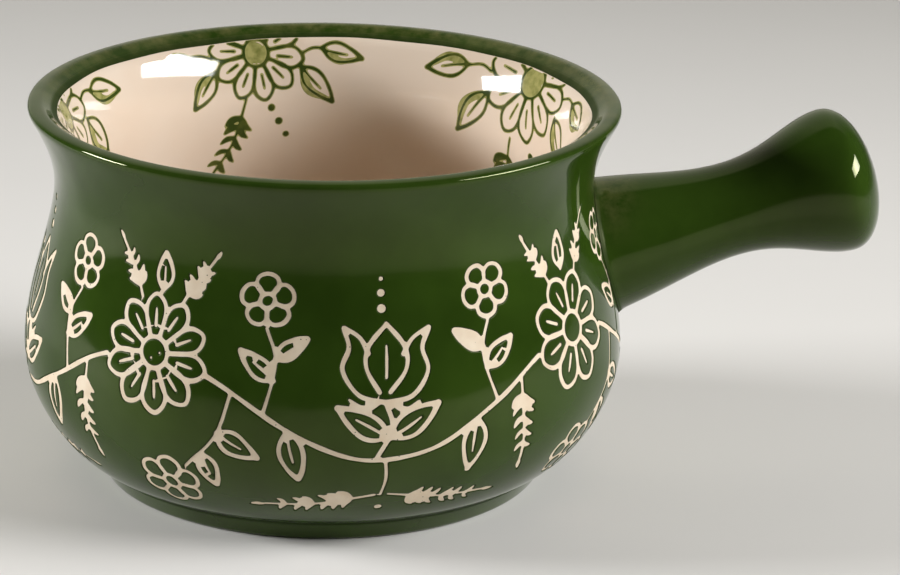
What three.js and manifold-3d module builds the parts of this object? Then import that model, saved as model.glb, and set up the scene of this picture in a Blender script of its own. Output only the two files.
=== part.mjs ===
// A glazed stoneware soup bowl with one hollow stick handle.
// Millimetres, +Z up, standing on z = 0, with the handle along +X.

import * as THREE from 'three';
import { mergeVertices } from 'three/addons/utils/BufferGeometryUtils.js';
import Module from 'manifold-3d';

// Bowl, bare clay: radii are from the bowl's axis and heights are from the table
const wall = 4.8;
const footRadius = 48.7;
const footHeight = 5.35;
const footDraft = 3.05;
const footWidth = 5.5;
const footBevel = 0.4;
const baseRecess = 2.2;
const recessDraft = 1.5;
const floorThickness = 5.6;
const floorRadius = 36;
const bellyRadius = 66.25;
const bellyHeight = 29.6;
const neckRadius = 59.2;
const neckHeight = 66.6;
const rimRadius = 64.95;
const rimHeight = 83.85;
const lipThickness = 6.05;
const lipRise = 0.75;
const crestInset = 2.55;
const lipDrop = 1.5;
const bevelRun = 1.2;
const bevelRise = 0.78;

// Curve pulls: the share of a curve's height or width over which it keeps its end direction
const bellySideEase = 0.49;
const bellyFootRun = 0.36;
const bellyFootRise = 0.07;
const shoulderLowEase = 0.35;
const shoulderHighEase = 0.27;
const neckEase = 0.5;
const flareEase = 0.06;
const lipLean = 2.6;
const lipRoundness = 0.68;
const crestRun = 0.1;
const floorRoundness = 0.66;

// Handle, bare clay: lengths along it are from its seat in the middle of the bowl's wall
const handleTilt = THREE.MathUtils.degToRad(14.8);
const seatHeight = 49.4;
const handleWall = 4;
const rootRadius = 15.6;
const rootDepth = 10.5;
const waistRadius = 10.15;
const waistFromSeat = 30.1;
const knobRadius = 16;
const knobFromSeat = 55;
const handleLength = 63.3;
const rootTaper = 0.3;
const rootEase = 0.45;
const taperEase = 0.3;
const waistEase = 0.45;
const knobEase = 0.28;
const knobRoundness = 0.57;
const ventRadius = 1.5;
const ventFromSeat = 8.3;

// Joint and coats
const glaze = 0.4;
const slipThickness = 1.5;
const seatGap = 0.3;

// Facets
const bowlSides = 40;
const handleSides = 24;
const ventSides = 12;
const bowlSteps = 6;
const handleSteps = 5;
const flareSteps = 4;
const lipSteps = 3;
const mergeDistance = 1e-3;

const wasm = await Module();
wasm.setup();

const point = (radius, height) => new THREE.Vector2(radius, height);

function curve(start, firstPull, secondPull, end, steps) {
  return new THREE.CubicBezierCurve(start, firstPull, secondPull, end).getPoints(steps);
}

// A curve that leaves and arrives along the axis of turning
function easedCurve(start, end, startEase, endEase, steps) {
  const rise = end.y - start.y;
  const firstPull = point(start.x, start.y + startEase * rise);
  const secondPull = point(end.x, end.y - endEase * rise);
  return curve(start, firstPull, secondPull, end, steps);
}

// A quarter round that leaves along the axis of turning and arrives square to it
function quarterRound(start, end, roundness, steps) {
  const firstPull = point(start.x, start.y + roundness * (end.y - start.y));
  const secondPull = point(end.x + roundness * (start.x - end.x), end.y);
  return curve(start, firstPull, secondPull, end, steps);
}

// Curves end to end, with each shared point kept once
function joined(...curves) {
  return curves.flatMap((points, index) => (index === 0 ? points : points.slice(1)));
}

// An outline moved sideways, to its right hand, with mitred corners
function offsetOutline(points, distance) {
  const sideways = (from, to) => point(to.y - from.y, from.x - to.x).normalize();
  return points.map((here, index) => {
    const before = points[index - 1];
    const after = points[index + 1];
    const into = before ? sideways(before, here) : sideways(here, after);
    const outOf = after ? sideways(here, after) : into;
    const miter = into.clone().add(outOf).normalize();
    const moved = here.clone().addScaledVector(miter, distance / miter.dot(into));
    if (here.x === 0) {
      moved.x = 0;
    }
    return moved;
  });
}

function turned(outline, sides) {
  return new THREE.LatheGeometry(outline, sides).rotateX(Math.PI / 2);
}

function solidFrom(geometry) {
  const bare = geometry.clone();
  bare.deleteAttribute('normal');
  bare.deleteAttribute('uv');
  const merged = mergeVertices(bare, mergeDistance);
  const corners = merged.index.array;
  const kept = [];
  for (let first = 0; first < corners.length; first += 3) {
    const [a, b, c] = corners.slice(first, first + 3);
    if (a !== b && b !== c && c !== a) {
      kept.push(a, b, c);
    }
  }
  return new wasm.Manifold(new wasm.Mesh({
    numProp: 3,
    vertProperties: merged.attributes.position.array,
    triVerts: Uint32Array.from(kept),
  }));
}

function geometryFrom(solid) {
  const mesh = solid.getMesh();
  const geometry = new THREE.BufferGeometry();
  geometry.setAttribute('position', new THREE.BufferAttribute(mesh.vertProperties, 3));
  geometry.setIndex(new THREE.BufferAttribute(mesh.triVerts, 1));
  geometry.computeVertexNormals();
  return geometry;
}

function named(name, geometry, material) {
  const mesh = new THREE.Mesh(geometry, material);
  mesh.name = name;
  return mesh;
}

// Bowl outline: out along the underside, up the outside, over the lip and down the inside
const footTop = point(footRadius + footDraft, footHeight);
const belly = point(bellyRadius, bellyHeight);
const neck = point(neckRadius, neckHeight);
const rim = point(rimRadius, rimHeight);
const crest = point(rimRadius - crestInset, rimHeight + lipRise);
const lipInside = point(rimRadius - lipThickness, rimHeight - lipDrop);
const neckInside = point(neckRadius - wall, neckHeight);
const bellyInside = point(bellyRadius - wall, bellyHeight);
const floorHeight = baseRecess + floorThickness;
const recessRadius = footRadius - footWidth - recessDraft;

const underside = [point(0, baseRecess), point(recessRadius, baseRecess)];
const footRing = [point(footRadius - footWidth, 0), point(footRadius - footBevel, 0)];

const bellyRise = belly.clone().sub(footTop);
const bellyCurve = curve(
  footTop,
  point(footTop.x + bellyFootRun * bellyRise.x, footTop.y + bellyFootRise * bellyRise.y),
  point(belly.x, belly.y - bellySideEase * bellyRise.y),
  belly,
  bowlSteps,
);
const lipInsideCurve = curve(
  crest,
  crest.clone().lerp(lipInside, crestRun),
  point(lipInside.x + bevelRun, lipInside.y + bevelRise),
  lipInside,
  lipSteps,
);
const outside = joined(
  [point(footRadius, footBevel), footTop],
  bellyCurve,
  easedCurve(belly, neck, shoulderLowEase, shoulderHighEase, bowlSteps),
  easedCurve(neck, rim, neckEase, flareEase, flareSteps),
  quarterRound(rim, crest, lipRoundness, lipSteps),
  lipInsideCurve,
);

const flareInside = curve(
  lipInside,
  point(lipInside.x - lipLean / 2, lipInside.y - lipLean),
  point(neckInside.x, neckInside.y + neckEase * (lipInside.y - neckInside.y)),
  neckInside,
  flareSteps,
);
const inside = joined(
  flareInside,
  easedCurve(neckInside, bellyInside, shoulderHighEase, shoulderLowEase, bowlSteps),
  quarterRound(bellyInside, point(floorRadius, floorHeight), floorRoundness, bowlSteps),
  [point(floorRadius, floorHeight), point(0, floorHeight)],
).slice(1);

const bowlOutline = [...underside, ...footRing, ...outside, ...inside];
const glazedOutline = offsetOutline(bowlOutline, glaze);
const coatStart = underside.length + footRing.length;
const coatEnd = coatStart + outside.length;

// The outside of the bowl as one filled solid, grown by some thickness
function bowlEnvelope(growth) {
  const grown = offsetOutline(outside, growth).slice(0, -lipSteps);
  const bottom = grown[0];
  const top = grown[grown.length - 1];
  return solidFrom(turned([point(0, bottom.y), ...grown, point(0, top.y)], bowlSides));
}

function bowlBody() {
  return turned(bowlOutline, bowlSides);
}

function linerGlaze() {
  const clay = bowlOutline.slice(coatEnd - 1).reverse();
  const surface = glazedOutline.slice(coatEnd - 1);
  return turned([...clay, ...surface], bowlSides);
}

function baseGlaze() {
  const surface = glazedOutline.slice(0, underside.length);
  const clay = bowlOutline.slice(0, underside.length).reverse();
  return turned([...surface, ...clay], bowlSides);
}

// Handle outline, from the root inside the bowl's wall to the tip on the handle's axis
function handleCurve(inset) {
  const root = point(rootRadius - inset, -rootDepth);
  const waist = point(waistRadius - inset, waistFromSeat);
  const knob = point(knobRadius - inset, knobFromSeat);
  const tip = point(0, handleLength - inset);
  const rootLength = waist.y - root.y;
  const taper = curve(
    root,
    point(root.x - rootTaper, root.y + rootEase * rootLength),
    point(waist.x, waist.y - taperEase * rootLength),
    waist,
    handleSteps,
  );
  const swell = easedCurve(waist, knob, waistEase, knobEase, handleSteps);
  return joined(taper, swell, quarterRound(knob, tip, knobRoundness, handleSteps));
}

const handleOutline = handleCurve(0);
const coreOutline = handleCurve(handleWall);
const handleGlazedOutline = offsetOutline(handleOutline, glaze);

// The handle's frame: its own Z runs along the handle and its own X points down
const handleFrame = new THREE.Group();
handleFrame.position.set((bellyRadius + neckRadius) / 2, 0, seatHeight);
handleFrame.rotation.y = Math.PI / 2 - handleTilt;
handleFrame.updateMatrix();
const toHandle = handleFrame.matrix.clone().invert();

function envelopeInHandle(growth) {
  return solidFrom(geometryFrom(bowlEnvelope(growth)).applyMatrix4(toHandle));
}

function ventCutter() {
  const length = 2 * rootRadius;
  const cutter = new THREE.CylinderGeometry(ventRadius, ventRadius, length, ventSides);
  return solidFrom(cutter.rotateZ(Math.PI / 2).translate(length / 2, 0, ventFromSeat));
}

function handleBody() {
  const blank = solidFrom(turned([...coreOutline.toReversed(), ...handleOutline], handleSides));
  return geometryFrom(blank.subtract(envelopeInHandle(slipThickness)).subtract(ventCutter()));
}

function handleGlaze() {
  const blank = solidFrom(turned([...handleOutline.toReversed(), ...handleGlazedOutline], handleSides));
  return geometryFrom(blank.subtract(envelopeInHandle(glaze + seatGap)).subtract(ventCutter()));
}

function handleSlip() {
  const outer = handleOutline.slice(0, handleSteps);
  const inner = coreOutline.slice(0, handleSteps).reverse();
  const tube = solidFrom(turned([...inner, ...outer, inner[0]], handleSides));
  const layer = tube.intersect(envelopeInHandle(slipThickness - seatGap));
  return geometryFrom(layer.subtract(envelopeInHandle(seatGap)));
}

// The outer coat stops round the seat of the handle
function outerGlaze() {
  const clay = bowlOutline.slice(coatStart, coatEnd).reverse();
  const surface = glazedOutline.slice(coatStart, coatEnd);
  const coat = solidFrom(turned([...surface, ...clay, surface[0]], bowlSides));
  const seat = offsetOutline(handleOutline.slice(0, handleSteps), seatGap);
  const seatEnds = [point(0, seat[0].y), ...seat, point(0, seat[seat.length - 1].y)];
  const plug = solidFrom(turned(seatEnds, handleSides).applyMatrix4(handleFrame.matrix));
  return geometryFrom(coat.subtract(plug));
}

const clayMaterial = new THREE.MeshStandardMaterial({ color: 0xdccab0, roughness: 0.85, metalness: 0 });
const slipMaterial = new THREE.MeshStandardMaterial({ color: 0xcbb898, roughness: 0.9, metalness: 0 });
const greenMaterial = new THREE.MeshStandardMaterial({ color: 0x2f4718, roughness: 0.12, metalness: 0 });
const creamMaterial = new THREE.MeshStandardMaterial({ color: 0xf0ddc6, roughness: 0.15, metalness: 0 });

handleFrame.add(named('handle_body', handleBody(), clayMaterial));
handleFrame.add(named('handle_luting_slip', handleSlip(), slipMaterial));
handleFrame.add(named('handle_glaze', handleGlaze(), greenMaterial));

const group = new THREE.Group();
group.add(named('bowl_body', bowlBody(), clayMaterial));
group.add(named('outer_glaze', outerGlaze(), greenMaterial));
group.add(named('liner_glaze', linerGlaze(), creamMaterial));
group.add(named('base_glaze', baseGlaze(), greenMaterial));
group.add(handleFrame);

// The origin lies under the middle of the whole object's length
group.updateMatrixWorld(true);
group.position.x = -new THREE.Box3().setFromObject(group, true).getCenter(new THREE.Vector3()).x;

export default group;
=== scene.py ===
"""A glazed stoneware soup bowl with a stick handle: fine surfaces, finishes, studio and camera.

Lengths are in millimetres until a mesh is made or the studio is set up. A place on the bowl is given by the
angle round its axis, the distance along its outline and the lift above the bare clay.
"""
import math
from collections import Counter

import bpy
import numpy as np
from mathutils import Matrix, Vector
from mathutils.geometry import delaunay_2d_cdt


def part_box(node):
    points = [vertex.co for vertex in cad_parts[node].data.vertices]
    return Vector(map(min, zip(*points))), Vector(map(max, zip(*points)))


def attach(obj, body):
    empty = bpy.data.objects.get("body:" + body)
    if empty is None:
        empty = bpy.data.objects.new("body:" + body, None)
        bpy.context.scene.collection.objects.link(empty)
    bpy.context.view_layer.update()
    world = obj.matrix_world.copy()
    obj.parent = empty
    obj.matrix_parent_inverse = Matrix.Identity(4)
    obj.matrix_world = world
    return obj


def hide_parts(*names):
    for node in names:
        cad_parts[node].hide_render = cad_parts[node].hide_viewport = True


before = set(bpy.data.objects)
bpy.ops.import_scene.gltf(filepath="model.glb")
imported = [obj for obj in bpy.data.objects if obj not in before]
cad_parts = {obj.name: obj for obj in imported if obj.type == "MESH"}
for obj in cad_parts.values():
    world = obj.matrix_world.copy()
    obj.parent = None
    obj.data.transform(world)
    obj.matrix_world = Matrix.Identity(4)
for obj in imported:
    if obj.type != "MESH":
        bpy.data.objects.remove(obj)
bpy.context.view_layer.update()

METRE = 1000.0
FULL_TURN = 2 * math.pi
TINY = 1e-12

# Bowl, bare clay: radii are from the bowl's axis and heights are from the table
WALL = 4.8
FOOT_RADIUS = 48.7
FOOT_HEIGHT = 5.35
FOOT_DRAFT = 3.05
FOOT_WIDTH = 5.5
FOOT_BEVEL = 0.4
BASE_RECESS = 2.2
RECESS_DRAFT = 1.5
FLOOR_THICKNESS = 5.6
FLOOR_RADIUS = 36.0
BELLY_RADIUS = 66.25
BELLY_HEIGHT = 29.6
NECK_RADIUS = 59.2
NECK_HEIGHT = 66.6
RIM_RADIUS = 64.95
RIM_HEIGHT = 83.85
LIP_THICKNESS = 6.05
LIP_RISE = 0.75
CREST_INSET = 2.55
LIP_DROP = 1.5
LIP_LEAN = 2.6
BEVEL_RUN = 1.2
BEVEL_RISE = 0.78

# Curve pulls: the share of a curve's height or width over which it keeps its end direction
BELLY_SIDE_EASE = 0.49
BELLY_FOOT_RUN = 0.36
BELLY_FOOT_RISE = 0.07
SHOULDER_LOW_EASE = 0.35
SHOULDER_HIGH_EASE = 0.27
NECK_EASE = 0.5
FLARE_EASE = 0.06
LIP_ROUNDNESS = 0.68
CREST_RUN = 0.1
FLOOR_ROUNDNESS = 0.66

# Handle, bare clay: lengths along it are from its seat in the middle of the bowl's wall
HANDLE_TILT = math.radians(14.8)
SEAT_HEIGHT = 49.4
ROOT_RADIUS = 15.6
ROOT_DEPTH = 10.5
WAIST_RADIUS = 10.15
WAIST_FROM_SEAT = 30.1
KNOB_RADIUS = 16.0
KNOB_FROM_SEAT = 55.0
HANDLE_LENGTH = 63.3
ROOT_TAPER = 0.3
ROOT_EASE = 0.45
TAPER_EASE = 0.3
WAIST_EASE = 0.45
KNOB_EASE = 0.28
KNOB_ROUNDNESS = 0.57
VENT_RADIUS = 1.5
VENT_FROM_SEAT = 8.3
SEAT_GAP = 0.3

# Coats of glaze: how thick they are, how they end, where they pool and carry painted shade, and where they
# run thin
GLAZE = 0.4
EDGE_ROUND = 0.36
EDGE_POOL_SHADE_REACH = 0.3
LINE_FILL = 0.24
FILL_REACH = 2.0
FOOT_EDGE_SHARE = 0.2
FOOT_EDGE_ROUND = 1.0
CREASE_POOL_SHADE_REACH = 1.2
SEAM_LIFT = 0.38
SEAM_REACH = 0.5
SEAM_POOL_SHADE = 0.8
SEAM_POOL_SHADE_REACH = 2.2
SEAM_WAVE = 0.3
SEAM_WAVE_REACH = 2.5
# Share, number round the bowl and phase of each wave in the line where the two coats meet
SEAM_WAVES = ((0.5, 3, 1.0), (0.3, 7, 0.0), (0.2, 16, 2.0))
LIP_THIN_FROM_RIM = 3.0
LIP_THIN_REACH = 2.6
LIP_THIN_LEAST = 0.15
LIP_THIN_SWING = 0.9
LIP_THIN_TURN = 0.35
BASE_EDGE_SHARE = 0.03
FILLET = 0.7
FILLET_REACH = 0.9
HANDLE_POOL_SHADE_REACH = 1.3
HANDLE_THIN = 0.8
HANDLE_THIN_FROM_ROOT = 4.0
HANDLE_THIN_REACH = math.sqrt(30)

# Fineness of the meshes
CURVE_STEPS = 60
OUTLINE_STEP = 0.25
OUTLINE_SOFTNESS = 0.3
COLUMNS = 240
ROW_STEP = 1.3
FINE_ROW_STEP = 0.5
LIP_ROW_STEP = FINE_ROW_STEP / 1.5
BACK_ROW_STEP = 2 * ROW_STEP
LIP_ROWS_FROM_RIM = 4.0
BASE_ROWS = 24
BASE_EDGE_ROWS = 7
HANDLE_COLUMNS = 96
HANDLE_ROWS = 110
HANDLE_ROW_POWER = 1.25
SEAT_HALVINGS = 40
VENT_SIDES = 32
GRID_ROW = 1.9
CELL = 0.2
SOFTENINGS = 2
CONTOUR_STEP = 0.38
SHORTEST_LOOP = 4 * CONTOUR_STEP
CLEAR_OF_LINES = 0.7
FIELD_REACH = 1.4
WELD = 1e-6
MERGE_DIGITS = 4

# Bands of the texture square that surfaces fill: a coat's face and back, and the clay's outside and inside
OUTER_BANDS = ((0.0, 0.8), (0.82, 1.0))
LINER_BANDS = ((0.0, 0.78), (0.82, 0.9))
SEAM_BAND = (0.805, 0.815)
UNDER_BAND = (0.0, 0.3)
CLAY_BANDS = ((0.32, 0.62), (0.62, 0.98))
BASE_BANDS = ((0.0, 0.48), (0.5, 0.98))
HANDLE_BANDS = ((0.0, 0.7), (0.72, 1.0))
HANDLE_SEAM_BAND = (0.705, 0.715)

# Shapes of the motifs, as shares of their width and length
LEAF_SIDE = np.array(((0, 0), (0.40, 0.22), (0.5, 0.45), (0.30, 0.76), (0, 1)))
LEAF_RIB = np.array(((0, 0), (0.04, 0.3), (0, 0.64)))
LEAF_WASH = np.array(((0, 0), (0.2, 0.5), (0, 0.96)))
LEAFLET = np.array(((0, 0), (0.12, 0.55), (0, 1)))
TIP_LEAFLET = np.array(((0, 0), (0.04, 0.5), (0, 1)))
SPRIG_STEM = np.array(((0, 0), (0.30, 0.5), (1, 1)))
CUP_SIDE = np.array(((0, 0), (0.62, 0.08), (1, 0.38), (0.86, 0.68), (1.02, 0.94)))
CUP_EDGE = np.array(((1.02, 0.94), (0.62, 0.8), (0.40, 0.6)))
CUP_MIDDLE = np.array(((0.12, 0.12), (0.46, 0.42), (0.42, 0.7), (0, 1)))
CUP_LEAF = np.array(((0.1, 0.0), (0.5, -0.1), (0.82, 0.02)))
CUP_VEIN = np.array(((0, 0.3), (0, 0.5), (0, 0.72)))
PETAL_VEIN = np.array(((0, 0.46), (0, 0.6), (0, 0.76)))
DAISY_HEART = 0.27
DAISY_WAIST = 0.74
PETAL_SHOULDER = 0.86
HEART_SIDES = 12
HEART_DOTS = 3
HEART_DOT_PLACE = 0.42
CUP_LEAF_WIDTH = 1.7
WASH_WIDTH = 0.2
SPRIG_LEAVES_FROM = 0.2
SPRIG_LEAVES_SPAN = 0.72
LEAFLET_SIZE = 1.15
LEAFLET_SHRINK = 0.5
LEAFLET_WIDTH = 0.34
LEAFLET_LEAN = math.radians(50)
TIP_SIZE = 0.8
TIP_WIDTH = 0.36

# The brush: how wide a line is at its start and end, and how a hand's strokes waver
LINE_SHARES = (0, 0.35, 0.65, 1)
LEAF_TAPER = (0.9, 1.3)
RIB_TAPER = (1.2, 0.7)
VEIN_TAPER = (1.1, 0.7)
BLADE_TIP = 0.22
BLADE_POWER = 0.8
SPLINE_STEPS = 10
DOT_LENGTH = 0.01
DRIFT = 0.12
DRIFT_LENGTH = 3.1
# Share and length of each wave in a stroke's width
SWELLS = ((0.10, 2.3), (0.05, 0.9))
SEED = 7

# Drawn lines, on the strip that the outside unrolls to: heights are from its lower edge
STRIP_RADIUS = 66.0
STRIP_LOW = 6.4
STRIP_HIGH = 73.0
DESIGN_TURN = math.radians(28)
FINE_LINE = 0.68
PENS = (0.95, FINE_LINE)
STEM = 1.0
STEM_STEP = 1.5
STEM_HEIGHT = 34.0
STEM_SWING = 10.0
STEM_FROM_DAISY = 0.97
DAISY_RADIUS = 13.0
# One daisy for each crest of the stem
DAISY_PETALS = (9, 8, 10, 8)
SMALL_DAISY = 7.6
BLOSSOM = 6.2
BLOSSOM_HEIGHT = 59.0
# Share of a wave, lean and length of the leaves on the stem
STEM_LEAVES = ((0.3, -48, 12), (0.7, -130, 12))
STEM_LEAF_WIDTH = 0.42
# Share of the stalk, lean and length of the leaves under a small flower
BLOSSOM_LEAVES = ((0.3, 52, 9.5), (0.48, -56, 8.5))
BLOSSOM_LEAF_WIDTH = 0.44
# Length, width, place and turn of the leaves on the branch below a crest
BRANCH_LEAVES = ((10, 4.8, 16, 29, -118), (9, 4.4, 12.5, 24, -165))
BRANCH_FROM_CREST = 19.0
# Height and width of the broad and the slim tulip
TULIPS = ((17, 19), (20, 15.5))

# Drawn lines inside, on the strip that hangs from the lip
LINER_RADIUS = 56.0
LINER_DEPTH = 52.0
LINER_FINE = 0.48
LINER_PENS = (0.62, LINER_FINE)
LINER_FRINGE = 0.2
LINER_MARGIN = 0.15
CLUSTERS = 5
CLUSTER_START = 0.35
CLUSTER_STRAY = 0.05
CLUSTER_SIZES = (1.0, 0.8)
# Place, turn and length of the leaves of a cluster
CLUSTER_LEAVES = ((-13, 8, 42, 14), (13, 8, -38, 13), (-19, 3, 78, 12), (20, 3, -80, 11))
CLUSTER_LEAF_WIDTH = 0.42
# Numbers of the liner's materials, after the plain glaze
WASH_FACES, INK_FACES = 1, 2

# Colours
GREEN = (0.0235, 0.05, 0.005)
GREEN_DEEP = (0.017, 0.0375, 0.0034)
# Painted shade: the dark green put in creases, at seams, at the handle's root and along the lines' edges,
# where the glaze also pools
GREEN_POOLED_SHADE = (0.008, 0.016, 0.002)
GREEN_THIN = (0.16, 0.15, 0.055)
GREEN_SHINE = (0.94, 0.96, 0.55)
CREAM = (0.75, 0.63, 0.515)
CREAM_WARM = (0.73, 0.59, 0.465)
INK = (0.034, 0.055, 0.008)
INK_THIN = (0.10, 0.11, 0.02)
WASH = (0.36, 0.34, 0.12)
WASH_DEEP = (0.16, 0.17, 0.04)
CLAY_LINE = (0.74, 0.63, 0.48)
CLAY_LINE_WARM = (0.66, 0.53, 0.38)
CLAY = (0.62, 0.51, 0.38)
CLAY_DARK = (0.50, 0.39, 0.27)
FLOOR = (0.77, 0.75, 0.73)
BACKDROP = (1.0, 0.97, 0.8)

# Finishes: pooled glaze starts to show at POOL_SHOWS and is fully rough at POOL_ROUGH; its painted shade
# darkens the green from POOL_SHOWS up to full pool
IOR = 1.5
GREEN_IOR = 1.4
GREEN_ROUGHNESS = 0.045
POOL_SHOWS = 0.3
POOL_ROUGH = 0.6
POOL_ROUGHNESS = 0.5
POOL_SPECULAR = (0.5, 0.2)
POOL_SHADE_COVER = 0.85
THIN_COVER = 0.7
THIN_CLOUDS = (0.36, 0.72)
CLOUDS = (0.35, 0.7)
SPECK_CORE = 0.7
# Places of the colour sockets of a Mix node
MIX_COLOURS = (6, 7)
MIX_RESULT = 2
# Feature size, detail and depth of the ripples in the liner
LINER_RIPPLES = (15, 1, 0.06)

# Camera, from the bowl's axis
CAMERA_DISTANCE = 847.8
CAMERA_HEIGHT = 326.8
CAMERA_PITCH = math.radians(18.62)
CAMERA_YAW = math.radians(1.91)
CAMERA_ROLL = math.radians(1.12)
HANDLE_AZIMUTH = math.radians(-6.0)
LENS = 160.0
SENSOR = 36.0
CLIP_METRES = (0.05, 50)

# Studio: name, azimuth from +X towards -Y, elevation, width and height in metres, and watts of each lamp
SOFTBOXES = (("softbox_right", 20, 27, 0.88, 0.28, 2.95), ("softbox_left", 188, 18.5, 0.5, 0.2, 2.35))
LAMP_METRES = 1.3
LAMP_SPREAD = math.radians(60)
LAMP_TARGET = 40.0
STAGE_METRES = 6.0
STAGE_SIDES = 96
# Surroundings: the strength of the pale band and of the rest, where the band starts and is full, and its top
PALE = 0.54
DIM = 0.04
PALE_SIDES = (0.69, 0.31)
PALE_TOP = math.radians(72)
PALE_TOP_SOFTNESS = 0.12


# Outlines


def point(radius, height):
    return np.array((radius, height), float)


def cubic(start, first, second, end):
    """A Bezier curve, without its first point."""
    t = np.linspace(0, 1, CURVE_STEPS + 1)[1:, None]
    return (1 - t) ** 3 * start + 3 * (1 - t) ** 2 * t * first + 3 * (1 - t) * t ** 2 * second + t ** 3 * end


def eased(start, end, start_ease, end_ease):
    """A curve that leaves and arrives along the axis of turning."""
    rise = end[1] - start[1]
    return cubic(start, start + (0, start_ease * rise), end - (0, end_ease * rise), end)


def quarter_round(start, end, roundness):
    """A curve that leaves along the axis of turning and arrives square to it."""
    side = point(start[0], start[1] + roundness * (end[1] - start[1]))
    top = point(end[0] + roundness * (start[0] - end[0]), end[1])
    return cubic(start, side, top, end)


def lengths_along(path):
    return np.concatenate(([0.0], np.cumsum(np.linalg.norm(np.diff(path, axis=0), axis=1))))


def respaced(path, step):
    """The same path with evenly spaced points."""
    along = lengths_along(path)
    count = max(2, int(round(along[-1] / step)) + 1)
    places = np.linspace(0, along[-1], count)
    return np.stack([np.interp(places, along, path[:, axis]) for axis in (0, 1)], 1)


class Outline:
    """A path of radius and height. Its right hand is the side away from the clay."""

    def __init__(self, path):
        even = respaced(path, OUTLINE_STEP)
        reach = int(round(3 * OUTLINE_SOFTNESS / OUTLINE_STEP))
        offsets = np.arange(-reach, reach + 1)
        weights = np.exp(-0.5 * (offsets * OUTLINE_STEP / OUTLINE_SOFTNESS) ** 2)
        weights /= weights.sum()
        before = 2 * even[0] - even[reach:0:-1]
        after = 2 * even[-1] - even[-2:-2 - reach:-1]
        padded = np.vstack((before, even, after))
        self.path = np.stack([np.convolve(padded[:, axis], weights, "valid") for axis in (0, 1)], 1)
        self.along = lengths_along(self.path)
        ahead = np.gradient(self.path, self.along, axis=0)
        ahead /= np.linalg.norm(ahead, axis=1)[:, None]
        self.out = np.stack((ahead[:, 1], -ahead[:, 0]), 1)

    def nearest(self, target):
        """Distance along the path of the point nearest to the target."""
        return self.along[np.argmin(np.linalg.norm(self.path - target, axis=1))]

    def at(self, along):
        """Radius, height and the two parts of the outward direction."""
        columns = (*self.path.T, *self.out.T)
        return [np.interp(along, self.along, column) for column in columns]

    def unrolled(self, start, end, reference):
        """Distances along the path and the heights that they take on a strip that keeps shapes."""
        places = np.linspace(start, end, int((end - start) / OUTLINE_STEP) + 2)
        scale = reference / self.at(places)[0]
        heights = np.cumsum((scale[1:] + scale[:-1]) / 2 * np.diff(places))
        return places, np.concatenate(([0.0], heights))


# Where the coat stops, part way round the bevel of the foot
FOOT_EDGE = point(FOOT_RADIUS - (1 - FOOT_EDGE_SHARE) * FOOT_BEVEL, FOOT_EDGE_SHARE * FOOT_BEVEL)
FOOT_TOP = point(FOOT_RADIUS + FOOT_DRAFT, FOOT_HEIGHT)
FOOT_INSIDE = FOOT_RADIUS - FOOT_WIDTH
RECESS_RADIUS = FOOT_INSIDE - RECESS_DRAFT
RIM = point(RIM_RADIUS, RIM_HEIGHT)
LIP_INSIDE = point(RIM_RADIUS - LIP_THICKNESS, RIM_HEIGHT - LIP_DROP)


def bowl_path():
    """The outside, the lip and the inside as one path."""
    belly = point(BELLY_RADIUS, BELLY_HEIGHT)
    neck = point(NECK_RADIUS, NECK_HEIGHT)
    crest = RIM + (-CREST_INSET, LIP_RISE)
    neck_inside = neck - (WALL, 0)
    belly_inside = belly - (WALL, 0)
    floor_edge = point(FLOOR_RADIUS, BASE_RECESS + FLOOR_THICKNESS)
    rise = belly - FOOT_TOP
    neck_ease = (0, NECK_EASE * (LIP_INSIDE[1] - neck_inside[1]))
    return np.vstack((
        [FOOT_EDGE, point(FOOT_RADIUS, FOOT_BEVEL), FOOT_TOP],
        cubic(FOOT_TOP, FOOT_TOP + rise * (BELLY_FOOT_RUN, BELLY_FOOT_RISE),
              belly - (0, BELLY_SIDE_EASE * rise[1]), belly),
        eased(belly, neck, SHOULDER_LOW_EASE, SHOULDER_HIGH_EASE),
        eased(neck, RIM, NECK_EASE, FLARE_EASE),
        quarter_round(RIM, crest, LIP_ROUNDNESS),
        cubic(crest, crest + CREST_RUN * (LIP_INSIDE - crest),
              LIP_INSIDE + (BEVEL_RUN, BEVEL_RISE), LIP_INSIDE),
        cubic(LIP_INSIDE, LIP_INSIDE - (LIP_LEAN / 2, LIP_LEAN), neck_inside + neck_ease, neck_inside),
        eased(neck_inside, belly_inside, SHOULDER_HIGH_EASE, SHOULDER_LOW_EASE),
        quarter_round(belly_inside, floor_edge, FLOOR_ROUNDNESS),
        [point(0, floor_edge[1])],
    ))


def handle_path():
    """The handle's outline from its root to its tip, as radius and length from the seat."""
    root = point(ROOT_RADIUS, -ROOT_DEPTH)
    waist = point(WAIST_RADIUS, WAIST_FROM_SEAT)
    knob = point(KNOB_RADIUS, KNOB_FROM_SEAT)
    length = waist[1] - root[1]
    return np.vstack((
        [root],
        cubic(root, root + (-ROOT_TAPER, ROOT_EASE * length), waist - (0, TAPER_EASE * length), waist),
        eased(waist, knob, WAIST_EASE, KNOB_EASE),
        quarter_round(knob, point(0, HANDLE_LENGTH), KNOB_ROUNDNESS),
    ))


def bowl_axis():
    """The bowl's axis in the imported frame."""
    low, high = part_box("bowl_body")
    return METRE * (low.x + high.x) / 2


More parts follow.
